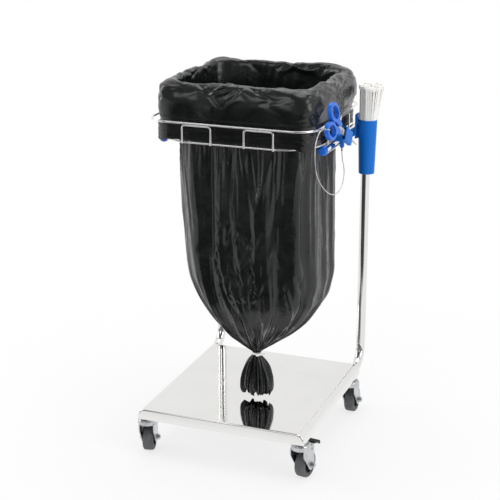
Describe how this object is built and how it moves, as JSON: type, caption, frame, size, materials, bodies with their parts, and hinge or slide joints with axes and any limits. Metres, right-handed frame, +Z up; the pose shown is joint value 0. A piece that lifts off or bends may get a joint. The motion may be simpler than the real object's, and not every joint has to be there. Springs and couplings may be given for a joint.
{
  "type": "bag holder floor stand",
  "caption": "Wheeled floor stand: a polished tray on casters carries bent tubes and a wire basket that holds an endless film bag open, with a tie cup and tethered scissors.",
  "frame": {"origin": "middle of the stand's box on the floor", "axes": "+X to the stand's right, +Y to the back, where the posts are, +Z up"},
  "size_m": [0.4754, 0.492, 0.8652],
  "materials": {
    "polished_sheet": "mirror polished stainless sheet",
    "tube_steel": "polished stainless tube",
    "wire_steel": "polished stainless wire",
    "black_film": "thin black film with a soft gloss",
    "blue_plastic": "moulded, satin",
    "holder_plastic": "moulded, satin",
    "white_nylon": "moulded, smooth",
    "blade_steel": "ground",
    "rope_steel": "twisted wire rope and crimps",
    "grey_tyre": "matt",
    "black_plastic": "moulded, matt",
    "zinc_steel": "bright zinc plate"
  },
  "bodies": {
    "root": {"base_plate": "polished_sheet", "left_tube": "tube_steel", "right_tube": "tube_steel", "left_arm_cap": "blue_plastic", "right_arm_cap": "blue_plastic", "upper_ring": "wire_steel", "lower_ring": "wire_steel", "loop_front_left": "wire_steel", "loop_front_right": "wire_steel", "loop_back_left": "wire_steel", "loop_back_right": "wire_steel", "loop_left_front": "wire_steel", "loop_left_rear": "wire_steel", "loop_right_front": "wire_steel", "loop_right_rear": "wire_steel", "film_cassette": "black_film", "bag": "black_film", "neck_tie": "white_nylon", "tie_holder": "holder_plastic", "cable_ties": "white_nylon", "scissors_holder": "holder_plastic", "scissors_blade_fixed": "blade_steel", "scissors_handle_fixed": "blue_plastic", "scissors_pivot": "blade_steel", "tether": "rope_steel", "tether_eye": "rope_steel", "tether_anchor": "rope_steel", "caster_front_left_stem": "zinc_steel", "caster_front_right_stem": "zinc_steel", "caster_back_left_stem": "zinc_steel", "caster_back_right_stem": "zinc_steel"},
    "caster_front_left_swivel": {"caster_front_left_fork": "zinc_steel", "caster_front_left_axle": "zinc_steel", "caster_front_left_brake_pin": "zinc_steel"},
    "caster_front_left_wheel": {"caster_front_left_hub": "black_plastic", "caster_front_left_tyre": "grey_tyre"},
    "caster_front_left_brake": {"caster_front_left_brake_pedal": "zinc_steel", "caster_front_left_brake_tread": "black_plastic"},
    "caster_front_right_swivel": {"caster_front_right_fork": "zinc_steel", "caster_front_right_axle": "zinc_steel", "caster_front_right_brake_pin": "zinc_steel"},
    "caster_front_right_wheel": {"caster_front_right_hub": "black_plastic", "caster_front_right_tyre": "grey_tyre"},
    "caster_front_right_brake": {"caster_front_right_brake_pedal": "zinc_steel", "caster_front_right_brake_tread": "black_plastic"},
    "caster_back_left_swivel": {"caster_back_left_fork": "zinc_steel", "caster_back_left_axle": "zinc_steel"},
    "caster_back_left_wheel": {"caster_back_left_hub": "black_plastic", "caster_back_left_tyre": "grey_tyre"},
    "caster_back_right_swivel": {"caster_back_right_fork": "zinc_steel", "caster_back_right_axle": "zinc_steel"},
    "caster_back_right_wheel": {"caster_back_right_hub": "black_plastic", "caster_back_right_tyre": "grey_tyre"},
    "scissors_free": {"scissors_blade_free": "blade_steel", "scissors_handle_free": "blue_plastic"}
  },
  "joints": [
    {"name": "caster_front_left_swivel", "type": "hinge", "parent": "root", "child": "caster_front_left_swivel", "pos_m": [-0.20616, -0.223, 0.085], "axis": [0, 0, 1], "continuous": true},
    {"name": "caster_front_left_spin", "type": "hinge", "parent": "caster_front_left_swivel", "child": "caster_front_left_wheel", "pos_m": [-0.2117, -0.20171, 0.0315], "axis": [0.9677, 0.2521, 0], "continuous": true},
    {"name": "caster_front_left_brake", "type": "hinge", "parent": "caster_front_left_swivel", "child": "caster_front_left_brake", "pos_m": [-0.21208, -0.20026, 0.0705], "axis": [0.9677, 0.2521, 0], "range_deg": [-12, 0]},
    {"name": "caster_front_right_swivel", "type": "hinge", "parent": "root", "child": "caster_front_right_swivel", "pos_m": [0.16548, -0.223, 0.085], "axis": [0, 0, 1], "continuous": true},
    {"name": "caster_front_right_spin", "type": "hinge", "parent": "caster_front_right_swivel", "child": "caster_front_right_wheel", "pos_m": [0.16854, -0.20121, 0.0315], "axis": [0.9903, -0.1392, 0], "continuous": true},
    {"name": "caster_front_right_brake", "type": "hinge", "parent": "caster_front_right_swivel", "child": "caster_front_right_brake", "pos_m": [0.16875, -0.19973, 0.0705], "axis": [0.9903, -0.1392, 0], "range_deg": [-12, 0]},
    {"name": "caster_back_left_swivel", "type": "hinge", "parent": "root", "child": "caster_back_left_swivel", "pos_m": [-0.20616, 0.15, 0.085], "axis": [0, 0, 1], "continuous": true},
    {"name": "caster_back_left_spin", "type": "hinge", "parent": "caster_back_left_swivel", "child": "caster_back_left_wheel", "pos_m": [-0.20616, 0.172, 0.0315], "axis": [1, 0, 0], "continuous": true},
    {"name": "caster_back_right_swivel", "type": "hinge", "parent": "root", "child": "caster_back_right_swivel", "pos_m": [0.16548, 0.15, 0.085], "axis": [0, 0, 1], "continuous": true},
    {"name": "caster_back_right_spin", "type": "hinge", "parent": "caster_back_right_swivel", "child": "caster_back_right_wheel", "pos_m": [0.16548, 0.172, 0.0315], "axis": [1, 0, 0], "continuous": true},
    {"name": "scissors_opening", "type": "hinge", "parent": "root", "child": "scissors_free", "pos_m": [0.20258, -0.0837, 0.7643], "axis": [0.9921, -0.0928, 0.0841], "range_deg": [-8, 0]}
  ]
}
